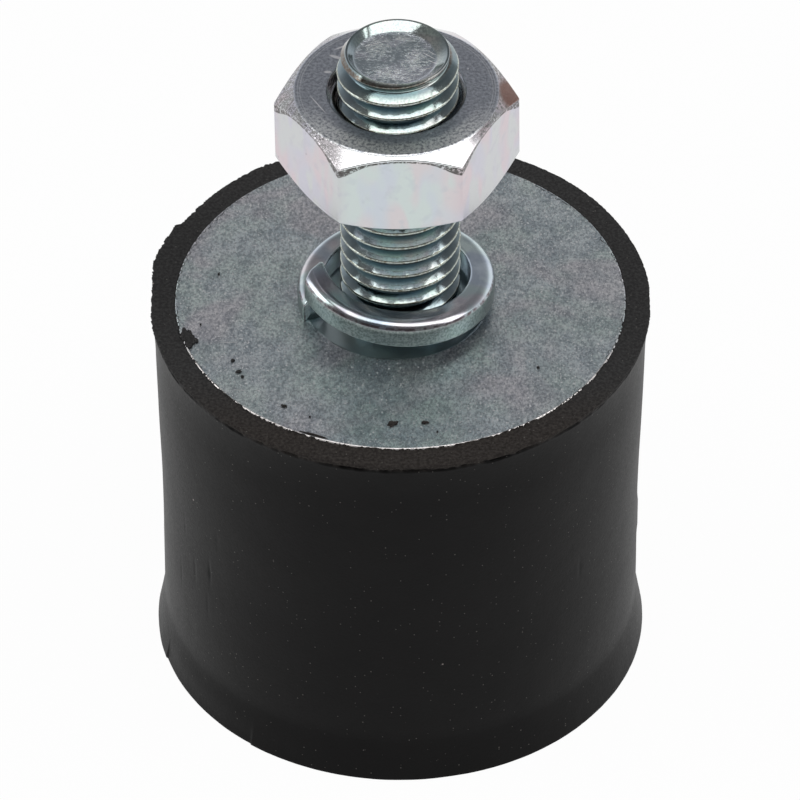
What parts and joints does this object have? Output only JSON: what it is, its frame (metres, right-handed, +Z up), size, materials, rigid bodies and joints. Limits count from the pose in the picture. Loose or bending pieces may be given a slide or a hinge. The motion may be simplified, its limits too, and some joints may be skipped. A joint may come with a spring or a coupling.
{
  "type": "bobbin vibration mount",
  "caption": "Cylindrical rubber mount between bonded steel discs, with a threaded stud, spring washer and hexagon nut on top and a blind threaded bush in its flat base.",
  "frame": {"origin": "centre of the base face, on the axis of the mount", "axes": "+Z up the axis, from the base disc towards the stud; +X to the right in the picture's view, which looks along +Y"},
  "size_m": [0.0408, 0.0408, 0.0611],
  "materials": {
    "rubber": "dull black moulded rubber",
    "disc_steel": "dull zinc plate, mottled",
    "stud_steel": "zinc plate, rolled thread",
    "washer_steel": "zinc plate, bright rounded edge",
    "nut_steel": "bright zinc plate",
    "base_steel": "dull zinc plate, mottled",
    "bush_steel": "zinc plate"
  },
  "bodies": {
    "root": {"rubber_body": "rubber", "top_plate": "disc_steel", "top_stud": "stud_steel", "spring_washer": "washer_steel", "hex_nut": "nut_steel", "bottom_plate": "base_steel", "bottom_bush": "bush_steel"}
  },
  "joints": []
}
